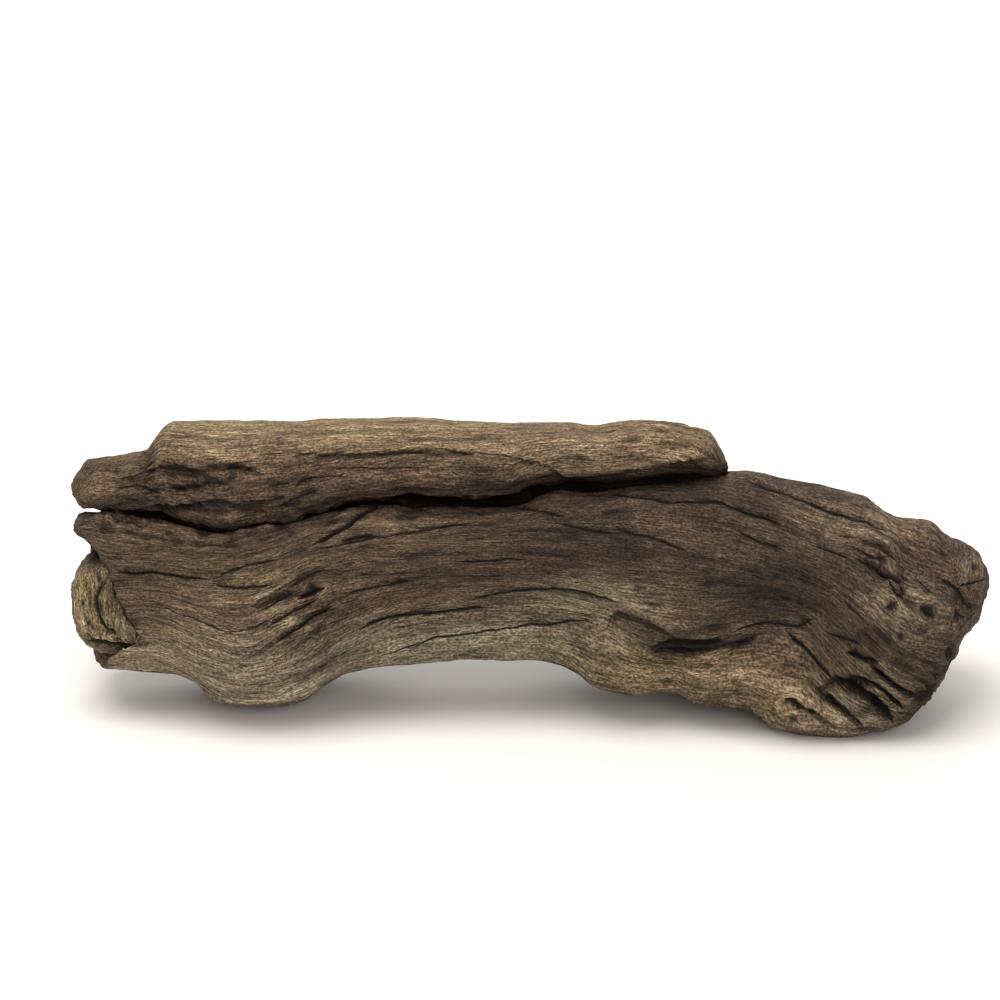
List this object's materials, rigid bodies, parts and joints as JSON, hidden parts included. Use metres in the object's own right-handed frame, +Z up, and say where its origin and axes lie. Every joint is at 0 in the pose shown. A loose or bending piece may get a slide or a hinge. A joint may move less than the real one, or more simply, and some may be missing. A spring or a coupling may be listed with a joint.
{
  "type": "piece of driftwood",
  "caption": "Bent, weathered driftwood stem with a burl at its right end and a plank of the same wood split from its top; it rests on its worn belly and foot.",
  "frame": {"origin": "middle of the bounding box's footprint, on the surface the wood rests on", "axes": "+X along the stem towards the burl, +Y away from the side with the open split, +Z up"},
  "size_m": [0.3972, 0.119, 0.123],
  "materials": {
    "driftwood": "bare weathered wood, washed and dried: dull, grey-brown, with open grain, drying cracks and lighter worn edges"
  },
  "bodies": {
    "root": {"driftwood": "driftwood"}
  },
  "joints": []
}
